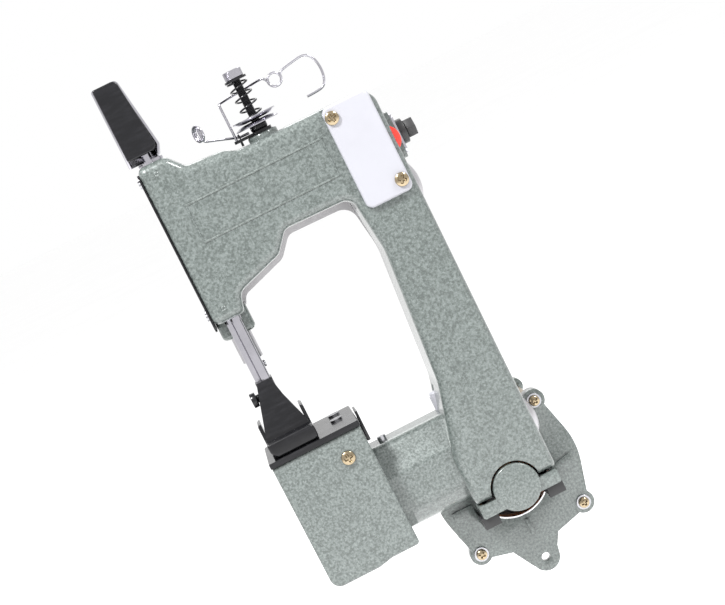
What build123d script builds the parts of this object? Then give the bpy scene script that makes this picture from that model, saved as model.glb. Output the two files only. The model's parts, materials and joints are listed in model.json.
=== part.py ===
"""Hand-held bag closer sewing machine, in millimetres.

+X runs from the needle to the back of the handle, +Y away from the open (cover) side,
+Z up.  The origin is the middle of the hand grip.
"""
from build123d import *
import math
import os

os.makedirs("parts", exist_ok=True)

# ---- driving dimensions -------------------------------------------------
near_y = -22.0            # near face of the arm and handle
far_y = 20.0              # far edge of the casting, where its cover lies
wall = 3.2                # casting wall
near_round = 4.6          # rounding of the near edges
cover_t = 3.0             # far cover plate
gap = 0.3                 # air between parts that move past each other

needle_x, needle_y = -103.6, 0.5
bar_r = 3.5
arm_top = 115.0
head_top, head_foot = 130.0, 38.0
head_front = -113.5
grip_back = 16.2
handle_foot = -111.5

motor_x, motor_z = -8.3, -111.5
bell_y, bell_t = 8.0, 9.0          # front face and thickness of the motor end bell
bell_r, bell_hole_r = 42.0, 22.0
drum_r, drum_end = 37.0, 78.0
rotor_r = 4.0

shaft_r = 4.0                      # lower and upper shafts
lower_y, lower_z = -5.5, -95.0
upper_y, upper_z = needle_y, 98.0
bearing_r, bearing_w = 8.0, 5.0
crank_r = 11.0                     # half of the needle stroke
rod_len = 30.0
pulley_x, pulley_w, pulley_r = 4.0, 6.0, 7.5

box_x0, box_x1 = -120.7, -69.0     # looper box
box_near, box_far = -26.0, 29.0
box_top, box_foot = -41.8, -115.3
plate_top = -38.8

tension_x, tension_y = -45.0, 0.0
boss_top = 118.6


def xz(y):
    """Sketch plane across the object at depth y; local axes are X and Z."""
    return Plane.XZ.offset(-y)


def yz(x):
    """Sketch plane at X = x; local axes are Y and Z."""
    return Plane.YZ.offset(x)


def save(builder, name):
    """Label one finished piece and write it as a STEP file."""
    builder.part.label = name
    export_step(builder.part, f"parts/{name}.step")


# ---- outlines -----------------------------------------------------------
# Side outline of arm and handle: X, Z and corner radius, clockwise from the head's front foot.
upper_outline = [
    (head_front, head_foot, 4), (head_front, head_top, 4), (-97, head_top, 5),
    (-89, 120.6, 5), (-68, 119.2, 8), (-61, 115.8, 8), (-34, 115.5, 8),
    (grip_back, arm_top, 9), (grip_back, handle_foot, 2), (-31.8, handle_foot, 2),
    (-32.3, -84, 20), (-21.3, -42, 25), (-15.2, 34, 30),
]
outline = upper_outline + [(-19, 66.8, 7), (-57.5, 67.6, 5), (-66, 57.2, 7), (-93.0, 48.6, 6), (-96.2, head_foot, 3)]
# The far cover reaches a little further into the throat than the casting.
cover_outline = upper_outline + [(-19, 61.2, 9), (-56, 62, 6), (-64.8, 51.6, 8), (-91.6, 43, 5), (-93.8, head_foot, 1)]


def closed_outline(corners, inset=0.0):
    """Flat sketch of a closed outline given as (u, v, corner radius), shrunk by inset."""
    with BuildSketch() as outer:
        with BuildLine():
            FilletPolyline(*[(u, v) for u, v, r in corners], radius=[r for u, v, r in corners], close=True)
        make_face()
    if not inset:
        return outer.sketch
    with BuildSketch() as inner:
        offset(outer.sketch, amount=-inset, kind=Kind.INTERSECTION)
    return inner.sketch


# Lower arm section: Y and Z, with a flat upper facet on the near side.
barrel_foot = -110.0
barrel_section = [
    (-17, -77, 3), (-5, -60.5, 6), (far_y, -60.5, 6), (far_y, barrel_foot, 8), (-6, barrel_foot, 14), (-17, -98, 10),
]

# Looper box, outside and inside: X, Z and corner radius.
box_wall = 3.0
box_outline = [
    (box_x0, box_top, 1), (box_x1, box_top, 1), (box_x1 + 0.8, -113.6, 2),
    (-85, -113.6, 7), (-93, box_foot, 7), (box_x0 + 0.8, box_foot, 6),
]
box_inner = [
    (box_x0 + box_wall, box_top + 1, 0.5), (box_x1 - box_wall, box_top + 1, 0.5), (box_x1 - box_wall, -110, 2),
    (-86, -110, 6), (-94, box_foot + box_wall, 6), (box_x0 + box_wall + 0.8, box_foot + box_wall, 4),
]

# ---- frame casting ------------------------------------------------------
motor_clear_r = 51.6
sleeve_r, sleeve_foot = 5.8, 11.7
boss_foot = 26.8
sleeve_bore_r = bar_r + 0.05
presser_spots = [(-102.0, -15.3), (-105.5, -10.2)]
presser_r = 2.5
collar_r, collar_h = 4.0, 2.0
bulkhead_x = [-84.0, -14.0]
barrel_bulkhead_x = [-72.0, -26.0]
bulkhead_t = 8.0
plate_screw_spots = [(-78.5, 1.0), (-78.5, 20.0)]
cover_screw_spots = [
    (-108.4, 121), (-62, 110.5), (11, 104), (-108.4, 48), (-62, 68.5),
    (11, 50), (11, -20), (-11.8, 20), (11, -50),
]
box_screw_spots = [(-82.0, -54.6)]
switch_screw_spots = [(-9.8, 109.0), (9.0, 64.0)]
screw_hole_r = 1.65
gland_y, gland_z = 6.0, 85.3
oil_cup_spot, oil_cup_r, oil_cup_z = (-23.6, 12.0), 3.6, -60.5
hatch = (-8.0, 10.5, 69.5, 104.0)          # switch opening in the near wall

with BuildPart() as shell:
    with BuildSketch(xz(far_y)):
        add(closed_outline(outline))
    extrude(amount=far_y - near_y)
    fillet(shell.faces().sort_by(Axis.Y)[0].edges(), radius=near_round)

with BuildPart() as barrel:
    with BuildSketch(yz(box_x1 - 1.0)):
        add(closed_outline(barrel_section))
    extrude(amount=52)

with BuildPart() as looper_box:
    with BuildSketch(xz(box_far)):
        add(closed_outline(box_outline))
    extrude(amount=box_far - box_near)

with BuildPart() as motor_space:
    with BuildSketch(xz(60)):
        with Locations((motor_x, motor_z)):
            Circle(motor_clear_r)
    extrude(amount=60 - bell_y + 0.1)

with BuildPart() as motor_space_wall:
    with BuildSketch(xz(60)):
        with Locations((motor_x, motor_z)):
            Circle(motor_clear_r + wall)
    extrude(amount=60 - bell_y + 2.5)

with BuildPart() as cavity:
    with BuildSketch(xz(far_y + 1)):
        add(closed_outline(outline, wall))
    extrude(amount=far_y + 1 - near_y - wall)
    add(motor_space_wall.part, mode=Mode.SUBTRACT)

with BuildPart() as barrel_cavity:
    with BuildSketch(yz(box_x1 - 1.0 + box_wall)):
        add(closed_outline(barrel_section, wall))
    extrude(amount=52)
    add(motor_space_wall.part, mode=Mode.SUBTRACT)

with BuildPart() as box_cavity:
    with BuildSketch(xz(box_far - box_wall)):
        add(closed_outline(box_inner))
    extrude(amount=box_far - box_wall - box_near + 1)

with BuildPart() as sleeve_boss:
    with BuildSketch(Plane.XY.offset(boss_foot)):
        with Locations((needle_x, needle_y + 0.8)):
            RectangleRounded(19.2, 15.6, 4)
    extrude(amount=41.2 - boss_foot)
    fillet(sleeve_boss.faces().sort_by(Axis.Z)[0].edges(), radius=2.5)

with BuildPart() as tension_boss:
    with BuildSketch(Plane.XY.offset(110)):
        with Locations((tension_x, tension_y)):
            Circle(8.4)
    extrude(amount=boss_top - 110)
    fillet(tension_boss.faces().sort_by(Axis.Z)[-1].edges(), radius=1.2)

with BuildPart() as frame_casting:
    add(shell.part)
    add(barrel.part)
    # boss that carries the needle bar sleeve
    add(sleeve_boss.part)
    # boss behind the switch for the cable gland
    with BuildSketch(yz(grip_back - 3)):
        with Locations((gland_y, 85.3)):
            RectangleRounded(20, 27, 4)
    extrude(amount=6.6)
    # tension boss on the arm
    add(tension_boss.part)
    add(cavity.part, mode=Mode.SUBTRACT)
    add(barrel_cavity.part, mode=Mode.SUBTRACT)
    add(looper_box.part)
    add(box_cavity.part, mode=Mode.SUBTRACT)
    add(motor_space.part, mode=Mode.SUBTRACT)
    # bulkheads that hold the shaft bearings
    for x in bulkhead_x:
        with BuildSketch(yz(x)):
            with Locations((-1, 85)):
                Rectangle(40, 60)
        extrude(amount=bulkhead_t)
    with BuildSketch(yz(barrel_bulkhead_x[1])):
        with Locations((-4.3, -86)):
            Rectangle(21.4, 42)
    extrude(amount=bulkhead_t)
    with BuildSketch(yz(barrel_bulkhead_x[0])):
        with Locations((lower_y, lower_z)):
            Rectangle(21, 22)
    extrude(amount=bulkhead_t)
    for x in bulkhead_x:
        with BuildSketch(yz(x)):
            with Locations((upper_y, upper_z)):
                Circle(shaft_r + 1.2)
        extrude(amount=bulkhead_t, mode=Mode.SUBTRACT)
        with BuildSketch(yz(x)):
            with Locations((upper_y, upper_z)):
                Circle(bearing_r)
        extrude(amount=bearing_w, mode=Mode.SUBTRACT)
    for x in barrel_bulkhead_x:
        with BuildSketch(yz(x)):
            with Locations((lower_y, lower_z)):
                Circle(shaft_r + 1.2)
        extrude(amount=bulkhead_t, both=True, mode=Mode.SUBTRACT)
        with BuildSketch(yz(x)):
            with Locations((lower_y, lower_z)):
                Circle(bearing_r)
        extrude(amount=bearing_w, mode=Mode.SUBTRACT)
    # bores for the needle bar sleeve, its top bush and the presser rods
    for z, height in [(boss_foot - 1, 22), (125, 7)]:
        with BuildSketch(Plane.XY.offset(z)):
            with Locations((needle_x, needle_y)):
                Circle(sleeve_r)
        extrude(amount=height, mode=Mode.SUBTRACT)
        with BuildSketch(Plane.XY.offset(z)):
            with Locations(*presser_spots):
                Circle(presser_r + 0.05)
        extrude(amount=height, mode=Mode.SUBTRACT)
    # pocket over the hidden motor screw
    with BuildSketch(xz(bell_y + 1)):
        with Locations((motor_x - 31.8, motor_z + 31.8)):
            Circle(4.8)
    extrude(amount=4.2, mode=Mode.SUBTRACT)
    # round opening towards the motor and the notch for the bearing cap
    with BuildSketch(xz(bell_y + 1)):
        with Locations((motor_x, motor_z)):
            Circle(21.5)
    extrude(amount=22.5, mode=Mode.SUBTRACT)
    with BuildSketch(xz(bell_y + 1)):
        with Locations((motor_x, motor_z)):
            Circle(14.2)
    extrude(amount=40, mode=Mode.SUBTRACT)
    # switch opening and its rocker window
    with BuildSketch(xz(near_y + wall + 1)):
        with Locations(((hatch[0] + hatch[1]) / 2, (hatch[2] + hatch[3]) / 2)):
            RectangleRounded(hatch[1] - hatch[0], hatch[3] - hatch[2], 3)
    extrude(amount=6, mode=Mode.SUBTRACT)
    with BuildSketch(yz(grip_back - 6)):
        with Locations((-14.2, 85.3)):
            RectangleRounded(8.4, 15, 1)
    extrude(amount=8, mode=Mode.SUBTRACT)
    # cable way through the gland boss
    with BuildSketch(yz(8)):
        with Locations((gland_y, gland_z)):
            Circle(4.6)
    extrude(amount=14, mode=Mode.SUBTRACT)
    # post hole in the tension boss
    with BuildSketch(Plane.XY.offset(109)):
        with Locations((tension_x, tension_y)):
            Circle(2.5)
    extrude(amount=12, mode=Mode.SUBTRACT)
    # bosses for the far cover, box cover and needle plate screws
    with BuildSketch(xz(far_y)):
        with Locations(*cover_screw_spots):
            Circle(3.6)
    extrude(amount=9)
    for x, z in box_screw_spots:
        with BuildSketch(xz(box_near + 12)):
            with Locations((x, z)):
                Circle(3.8)
            with Locations(((x + (box_x1 if x > -95 else box_x0)) / 2, z)):
                Rectangle(10, 5)
        extrude(amount=12)
    with BuildSketch(xz(far_y + 1)):
        with Locations(*cover_screw_spots):
            Circle(screw_hole_r)
    extrude(amount=9, mode=Mode.SUBTRACT)
    with BuildSketch(xz(box_near + 9)):
        with Locations(*box_screw_spots):
            Circle(screw_hole_r)
    extrude(amount=10, mode=Mode.SUBTRACT)
    with BuildSketch(xz(near_y + 10)):
        with Locations(*switch_screw_spots):
            Circle(screw_hole_r)
    extrude(amount=12, mode=Mode.SUBTRACT)
    # ledge under the needle plate
    with BuildSketch(Plane.XY.offset(box_top - 8)):
        with Locations((-75, 10.5)):
            Rectangle(11, 31)
    extrude(amount=8)
    with BuildSketch(Plane.XY.offset(box_top - 8)):
        with Locations(*plate_screw_spots):
            Circle(screw_hole_r)
    extrude(amount=9, mode=Mode.SUBTRACT)
    # notch for the oil cup where the handle meets the lower arm
    with BuildSketch(Plane.XY.offset(oil_cup_z)):
        with Locations(oil_cup_spot):
            Circle(oil_cup_r + gap)
    extrude(amount=14, mode=Mode.SUBTRACT)
    # hole for the looper shaft, from the ledge side wall
    with BuildSketch(yz(-73)):
        with Locations((14, -88)):
            Circle(3.05)
    extrude(amount=12, mode=Mode.SUBTRACT)
save(frame_casting, "frame_casting")


# ---- covers and plates on the casting -----------------------------------
with BuildPart() as far_space:
    with BuildSketch(xz(60)):
        with Locations((motor_x, motor_z)):
            Circle(motor_clear_r + 0.4)
        with Locations((-60, -110)):
            Rectangle(130, 100)
    extrude(amount=60)

with BuildPart() as frame_cover:
    with BuildSketch(xz(far_y + cover_t)):
        add(closed_outline(cover_outline))
    extrude(amount=cover_t)
    fillet(frame_cover.faces().sort_by(Axis.Y)[-1].edges(), radius=1.5)
    add(far_space.part, mode=Mode.SUBTRACT)
    with BuildSketch(xz(far_y + cover_t)):
        with Locations(*cover_screw_spots):
            Circle(screw_hole_r + 0.15)
    extrude(amount=cover_t, mode=Mode.SUBTRACT)
save(frame_cover, "frame_cover")

face_spots = [(-12, 122), (12, 122), (-12, 44), (12, 44)]
face_t = 1.0
with BuildPart() as face_plate:
    with BuildSketch(yz(head_front - face_t)):
        with Locations((-0.5, 81)):
            RectangleRounded(39, 92, 4)
    extrude(amount=face_t)
    with BuildSketch(yz(head_front - face_t)):
        with Locations(*face_spots):
            Circle(1.3)
    extrude(amount=face_t, mode=Mode.SUBTRACT)
save(face_plate, "face_plate")

# Channel round the needle bar's upper end: web on the far side, two flanges and a roof, with a black lid.
guard_foot, guard_top = 131.7, 177.0
guard_web_y, guard_near_y = 12.0, -15.0
sheet = 1.2
guard_outline = [(-116.3, guard_foot, 0.5), (-116.3, guard_top, 1.5), (-101.6, guard_top, 2.5), (-96.1, 137.5, 3), (-98.6, guard_foot, 2)]
lid_outline = [(-115.3, 135.4, 1), (-115.3, guard_top, 1), (-102, guard_top, 3.2), (-97.6, 135.4, 3.4)]
guard_spots = [(-109.6, 16.0), (-101.8, 16.0)]
with BuildPart() as needle_bar_guard:
    with BuildSketch(xz(guard_web_y + sheet)):
        add(closed_outline(guard_outline))
    extrude(amount=guard_web_y + sheet - guard_near_y)
    with BuildSketch(xz(guard_web_y)):
        add(closed_outline(guard_outline, sheet))
        with Locations((-107.4, guard_foot + 1)):
            Rectangle(15.4, 4)
    extrude(amount=guard_web_y - guard_near_y + 1, mode=Mode.SUBTRACT)
    # foot that is screwed to the top of the head
    with BuildSketch(Plane.XY.offset(head_top)):
        with Locations((-105.7, guard_web_y + 3.5)):
            Rectangle(13, 7)
    extrude(amount=sheet)
    with BuildSketch(Plane.XY.offset(head_top - 1)):
        with Locations(*guard_spots):
            Circle(1.3)
    extrude(amount=4, mode=Mode.SUBTRACT)
save(needle_bar_guard, "needle_bar_guard")

with BuildPart() as guard_cover:
    with BuildSketch(xz(guard_near_y)):
        add(closed_outline(lid_outline))
    extrude(amount=2.5)
    fillet(guard_cover.faces().sort_by(Axis.Y)[0].edges(), radius=0.9)
save(guard_cover, "guard_cover")

with BuildPart() as needle_bar_sleeve:
    with BuildSketch(Plane.XY.offset(sleeve_foot)):
        with Locations((needle_x, needle_y)):
            Circle(sleeve_r)
            Circle(sleeve_bore_r, mode=Mode.SUBTRACT)
    extrude(amount=41 - sleeve_foot)
save(needle_bar_sleeve, "needle_bar_sleeve")

with BuildPart() as bar_bushes:
    with BuildSketch(Plane.XY.offset(125)):
        with Locations((needle_x, needle_y)):
            Circle(sleeve_r)
            Circle(sleeve_bore_r, mode=Mode.SUBTRACT)
    extrude(amount=head_top + 1.5 - 125)
    with BuildSketch(Plane.XY.offset(head_foot - collar_h)):
        with Locations(*presser_spots):
            Circle(3.0)
            Circle(presser_r + 0.05, mode=Mode.SUBTRACT)
    extrude(amount=collar_h)
save(bar_bushes, "bar_bushes")

# Needle plate with its needle hole, feed slots and screw slot.
feed_x = [-6.0, 6.0]
feed_len, feed_w, feed_play = 18.0, 3.0, 2.5
with BuildPart() as needle_plate:
    with BuildSketch(Plane.XY.offset(box_top)):
        with Locations(((box_x0 + box_x1) / 2, 0)):
            RectangleRounded(box_x1 - box_x0 + 1.0, 60, 1.5)
    extrude(amount=plate_top - box_top)
    chamfer(needle_plate.faces().sort_by(Axis.Z)[-1].edges(), length=0.5)
    with BuildSketch(Plane.XY.offset(box_top)):
        with Locations((needle_x, needle_y)):
            Circle(2.0)
        with Locations(*[(needle_x + dx, needle_y) for dx in feed_x]):
            Rectangle(feed_w + 1.0, feed_len + 2 * feed_play + 1.5)
        with Locations(*plate_screw_spots):
            Circle(2.2)
    extrude(amount=plate_top - box_top, mode=Mode.SUBTRACT)
save(needle_plate, "needle_plate")

with BuildPart() as needle_plate_screws:
    for x, y in plate_screw_spots:
        with BuildSketch(Plane.XY.offset(plate_top)):
            with Locations((x, y)):
                Circle(3.4)
        extrude(amount=1.2)
        with BuildSketch(Plane.XY.offset(box_top - 7)):
            with Locations((x, y)):
                Circle(screw_hole_r)
        extrude(amount=plate_top - box_top + 7)
        with BuildSketch(Plane.XY.offset(plate_top + 0.6)):
            with Locations((x, y)):
                Rectangle(5.4, 0.9)
        extrude(amount=1, mode=Mode.SUBTRACT)
save(needle_plate_screws, "needle_plate_screws")

cover_face_y = -29.0
with BuildPart() as looper_box_cover:
    with BuildSketch(xz(box_near)):
        add(closed_outline(box_outline))
    extrude(amount=box_near - cover_face_y)
    fillet(looper_box_cover.faces().sort_by(Axis.Y)[0].edges(), radius=1.4)
    with BuildSketch(xz(box_near)):
        with Locations(*box_screw_spots):
            Circle(screw_hole_r + 0.15)
    extrude(amount=4, mode=Mode.SUBTRACT)
save(looper_box_cover, "looper_box_cover")


def pan_screw(x, z, seat_y, facing, length, head_r=3.8, head_h=2.2):
    """Pan head screw lying along Y with its head on seat_y; facing is -1 for the near side."""
    with BuildPart() as screw:
        with BuildSketch(xz(seat_y)):
            with Locations((x, z)):
                Circle(head_r)
        extrude(amount=-facing * head_h)
        head_edges = screw.faces().sort_by(Axis.Y)[0 if facing < 0 else -1].edges()
        fillet(head_edges, radius=0.9)
        with BuildSketch(xz(seat_y)):
            with Locations((x, z)):
                Circle(screw_hole_r)
        extrude(amount=facing * length)
        with BuildSketch(xz(seat_y + facing * head_h)):
            with Locations((x, z)):
                Rectangle(head_r * 1.1, 0.9)
                Rectangle(0.9, head_r * 1.1)
        extrude(amount=facing * 1.2, mode=Mode.SUBTRACT)
    return screw.part


switch_face_y = -25.0
with BuildPart() as pan_head_screws:
    for x, z in cover_screw_spots:
        add(pan_screw(x, z, far_y + cover_t, 1, 11))
    for x, z in box_screw_spots:
        add(pan_screw(x, z, cover_face_y, -1, 11))
    for x, z in switch_screw_spots:
        add(pan_screw(x, z, switch_face_y, -1, 5.5))
save(pan_head_screws, "pan_head_screws")

with BuildPart() as small_screws:
    for y, z in face_spots:
        with BuildSketch(yz(head_front - face_t)):
            with Locations((y, z)):
                Circle(2.4)
        extrude(amount=-1.2)
        with BuildSketch(yz(head_front - face_t)):
            with Locations((y, z)):
                Circle(1.25)
        extrude(amount=face_t)
    with BuildSketch(Plane.XY.offset(head_top + sheet)):
        with Locations(*guard_spots):
            Circle(2.4)
    extrude(amount=1.2)
    with BuildSketch(Plane.XY.offset(head_top)):
        with Locations(*guard_spots):
            Circle(1.25)
    extrude(amount=sheet)
    # plug in the top of the lower arm
    with BuildSketch(Plane.XY.offset(-60.5)):
        with Locations((-60.8, 2.0)):
            Circle(2.4)
    extrude(amount=3)
save(small_screws, "small_screws")

with BuildPart() as shaft_bearings:
    for x, y, z in ([(x, upper_y, upper_z) for x in bulkhead_x]
                    + [(x, lower_y, lower_z) for x in barrel_bulkhead_x]):
        with BuildSketch(yz(x)):
            with Locations((y, z)):
                Circle(bearing_r)
                Circle(shaft_r + 0.05, mode=Mode.SUBTRACT)
        extrude(amount=bearing_w)
save(shaft_bearings, "shaft_bearings")

# Domed caps on the back of the handle.
cap_y = -4.8
with BuildPart() as handle_caps:
    for z, r, bulge in [(59.5, 12.0, 3.4), (-83.2, 12.5, 3.9)]:
        with BuildSketch(xz(cap_y)):
            with BuildLine():
                Line((grip_back, z), (grip_back, z + r))
                RadiusArc((grip_back, z + r), (grip_back + bulge, z), (r * r + bulge * bulge) / (2 * bulge))
                Line((grip_back + bulge, z), (grip_back, z))
            make_face()
        revolve(axis=Axis((0, cap_y, z), (1, 0, 0)))
save(handle_caps, "handle_caps")

with BuildPart() as oil_cup:
    with BuildSketch(Plane.XY.offset(oil_cup_z)):
        with Locations(oil_cup_spot):
            Circle(oil_cup_r)
    extrude(amount=8)
    with BuildSketch(Plane.XY.offset(oil_cup_z + 8)):
        with Locations(oil_cup_spot):
            Circle(oil_cup_r - 0.5)
    extrude(amount=2.2)
    fillet(oil_cup.faces().sort_by(Axis.Z)[-1].edges(), radius=1.2)
save(oil_cup, "oil_cup")

with BuildPart() as thread_cutter:
    with BuildSketch(xz(4)):
        with BuildLine():
            Polyline((box_x1 + 1.1, -36.6), (box_x1 + 2.4, -36.6), (box_x1 + 2.4, -54), (box_x1 + 0.4, -54),
                     (box_x1 + 0.4, -43), (box_x1 + 1.1, -43), close=True)
        make_face()
    extrude(amount=18)
save(thread_cutter, "thread_cutter")


# ---- motor --------------------------------------------------------------
lobe_square = 63.6
lobe_spots = [(motor_x + sx * lobe_square / 2, motor_z + sz * lobe_square / 2) for sx in (-1, 1) for sz in (-1, 1)]
ear_drop, ear_r, ear_hole_r, ear_t = 51.0, 8.0, 2.4, 5.0
lobe_r, lobe_spread = 6.3, 30.0
ear_outline = [(-26, -148), (7, -148), (0.4, -159.4), (-0.6, -164.6), (-13.7, -168.4), (-17.2, -163.2)]


def polar(radius, angle):
    """Point at a radius and angle, in degrees, from the motor axis; local X and Z."""
    return motor_x + radius * math.cos(math.radians(angle)), motor_z + radius * math.sin(math.radians(angle))


with BuildPart() as motor_end_bell:
    with BuildSketch(xz(bell_y + bell_t)):
        with Locations((motor_x, motor_z)):
            Circle(bell_r)
        for angle in (45, 135, 225, 315):
            centre = polar(lobe_square / math.sqrt(2), angle)
            side = (lobe_r * math.sin(math.radians(angle)), lobe_r * math.cos(math.radians(angle)))
            with BuildLine():
                Polyline((centre[0] + side[0], centre[1] - side[1]), (centre[0] - side[0], centre[1] + side[1]),
                         polar(bell_r, angle + lobe_spread), polar(bell_r, angle - lobe_spread), close=True)
            make_face()
        with Locations(*lobe_spots):
            Circle(lobe_r)
    extrude(amount=bell_t)
    with BuildSketch(xz(bell_y + bell_t)):
        with BuildLine():
            Polyline(*ear_outline, close=True)
        make_face()
        with Locations((motor_x, motor_z - ear_drop)):
            Circle(ear_r)
    extrude(amount=ear_t)
    # short ribs on the front face
    with BuildSketch(xz(bell_y)):
        with Locations((22, -118.6)):
            Rectangle(13, 5.6, rotation=12)
        with Locations((-39, -118.6)):
            Rectangle(12, 6)
        with Locations((-9, -141.8)):
            Rectangle(2.2, 10)
    extrude(amount=1.6)
    with BuildSketch(xz(bell_y + bell_t)):
        with Locations((motor_x, motor_z)):
            Circle(bell_hole_r)
        with Locations(*lobe_spots):
            Circle(2.2)
        with Locations((motor_x, motor_z - ear_drop)):
            Circle(ear_hole_r)
    extrude(amount=bell_t + 2, mode=Mode.SUBTRACT)
save(motor_end_bell, "motor_end_bell")

cap_near_y, strap_near_y = -24.0, -22.0
cap_r, motor_bearing_r, motor_bearing_w = 13.0, 11.0, 7.0
front_bearing_y = -23.0
strap_x0, strap_x1, strap_z0, strap_z1 = -31.5, 15.0, -120.0, -112.6
with BuildPart() as bearing_bridge:
    with BuildSketch(xz(1.5)):
        with Locations((motor_x, motor_z)):
            Circle(cap_r - 0.4)
        with Locations((motor_x, motor_z + 20)):
            Rectangle(60, 38, mode=Mode.SUBTRACT)
    extrude(amount=1.5 - front_bearing_y - motor_bearing_w)
    with BuildSketch(xz(front_bearing_y + motor_bearing_w)):
        with Locations((motor_x, motor_z)):
            Circle(cap_r)
    extrude(amount=front_bearing_y + motor_bearing_w - cap_near_y)
    fillet(bearing_bridge.faces().sort_by(Axis.Y)[0].edges(), radius=0.8)
    with BuildSketch(xz(-18.5)):
        with Locations(((strap_x0 + strap_x1) / 2, (strap_z0 + strap_z1) / 2)):
            RectangleRounded(strap_x1 - strap_x0, strap_z1 - strap_z0, 1.2)
    extrude(amount=-18.5 - strap_near_y)
    with BuildSketch(xz(bell_y)):
        with Locations((strap_x0 + 1.5, (strap_z0 + strap_z1) / 2), (strap_x1 - 1.5, (strap_z0 + strap_z1) / 2)):
            Rectangle(3, strap_z1 - strap_z0)
    extrude(amount=bell_y + 19)
    with BuildSketch(xz(bell_y)):
        with Locations((motor_x, motor_z)):
            Circle(9)
    extrude(amount=bell_y - front_bearing_y - motor_bearing_w, mode=Mode.SUBTRACT)
    with BuildSketch(xz(front_bearing_y + motor_bearing_w)):
        with Locations((motor_x, motor_z)):
            Circle(motor_bearing_r)
    extrude(amount=motor_bearing_w, mode=Mode.SUBTRACT)
save(bearing_bridge, "bearing_bridge")

rear_bearing_y = 84.0
with BuildPart() as motor_bearings:
    for y in (front_bearing_y, rear_bearing_y):
        with BuildSketch(xz(y + motor_bearing_w)):
            with Locations((motor_x, motor_z)):
                Circle(motor_bearing_r)
                Circle(rotor_r + 0.05, mode=Mode.SUBTRACT)
        extrude(amount=motor_bearing_w)
save(motor_bearings, "motor_bearings")

drum_near_y = bell_y + bell_t
with BuildPart() as motor_housing:
    with BuildSketch(xz(drum_end)):
        with Locations((motor_x, motor_z)):
            Circle(drum_r)
            Circle(drum_r - 2.2, mode=Mode.SUBTRACT)
    extrude(amount=drum_end - drum_near_y)
    with BuildSketch(xz(drum_end)):
        for x, z in lobe_spots:
            with BuildLine():
                Polyline((x, z + 4), (x, z - 4), (motor_x + (x - motor_x) * 0.72, motor_z + (z - motor_z) * 0.72 - 4),
                         (motor_x + (x - motor_x) * 0.72, motor_z + (z - motor_z) * 0.72 + 4), close=True)
            make_face()
        with Locations(*lobe_spots):
            Circle(5)
        with Locations((motor_x, motor_z)):
            Circle(drum_r - 2.2, mode=Mode.SUBTRACT)
    extrude(amount=8)
    with BuildSketch(xz(drum_end)):
        with Locations(*lobe_spots):
            Circle(screw_hole_r)
    extrude(amount=8, mode=Mode.SUBTRACT)
save(motor_housing, "motor_housing")

washer_t = 1.0
bolt_len = drum_end - bell_y - 1.0
with BuildPart() as motor_screws:
    for x, z in lobe_spots:
        add(pan_screw(x, z, bell_y - washer_t, -1, bolt_len, head_r=3.1, head_h=2.4))
    # plain washers under the heads
    with BuildSketch(xz(bell_y)):
        with Locations(*lobe_spots):
            Circle(4.3)
            Circle(screw_hole_r + 0.15, mode=Mode.SUBTRACT)
    extrude(amount=washer_t)
save(motor_screws, "motor_screws")

core_y0, core_y1 = 30.0, 60.0
with BuildPart() as stator:
    with BuildSketch(xz(core_y1)):
        with Locations((motor_x, motor_z)):
            Circle(drum_r - 2.2)
            Circle(21.6, mode=Mode.SUBTRACT)
        with Locations((motor_x - 26, motor_z), (motor_x + 26, motor_z)):
            Rectangle(8, 26, mode=Mode.SUBTRACT)
    extrude(amount=core_y1 - core_y0)
save(stator, "stator")

comm_y0, comm_y1, comm_r = 9.0, 22.0, 8.5
with BuildPart() as armature:
    with BuildSketch(xz(core_y1)):
        with Locations((motor_x, motor_z)):
            Circle(21)
            with PolarLocations(19.2, 12):
                Rectangle(5, 2.2, mode=Mode.SUBTRACT)
    extrude(amount=core_y1 - core_y0)
    with BuildSketch(xz(core_y1 + 5)):
        with Locations((motor_x, motor_z)):
            Circle(15)
    extrude(amount=core_y1 - core_y0 + 10)
    with BuildSketch(xz(core_y0)):
        with Locations((motor_x, motor_z)):
            Circle(comm_r)
    extrude(amount=core_y0 - comm_y0)
    with BuildSketch(xz(core_y1 + 6)):
        with Locations((motor_x, motor_z)):
            Circle(rotor_r)
    extrude(amount=70, mode=Mode.SUBTRACT)
save(armature, "armature")

worm_r, worm_y0, worm_y1 = 6.2, -13.0, 3.0
with BuildPart() as rotor_shaft:
    with BuildSketch(xz(rear_bearing_y + motor_bearing_w)):
        with Locations((motor_x, motor_z)):
            Circle(rotor_r)
    extrude(amount=rear_bearing_y + motor_bearing_w - front_bearing_y)
    with BuildSketch(xz(worm_y1)):
        with Locations((motor_x, motor_z)):
            Circle(worm_r)
    extrude(amount=worm_y1 - worm_y0)
save(rotor_shaft, "rotor_shaft")

fan_y0, fan_y1 = 68.0, 76.0
with BuildPart() as fan:
    with BuildSketch(xz(fan_y0 + 1.5)):
        with Locations((motor_x, motor_z)):
            Circle(30)
            Circle(rotor_r, mode=Mode.SUBTRACT)
    extrude(amount=1.5)
    with BuildSketch(xz(fan_y1)):
        with Locations((motor_x, motor_z)):
            Circle(8)
            Circle(rotor_r, mode=Mode.SUBTRACT)
            with PolarLocations(20, 9):
                Rectangle(18, 1.6, rotation=18)
    extrude(amount=fan_y1 - fan_y0)
save(fan, "fan")

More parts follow.
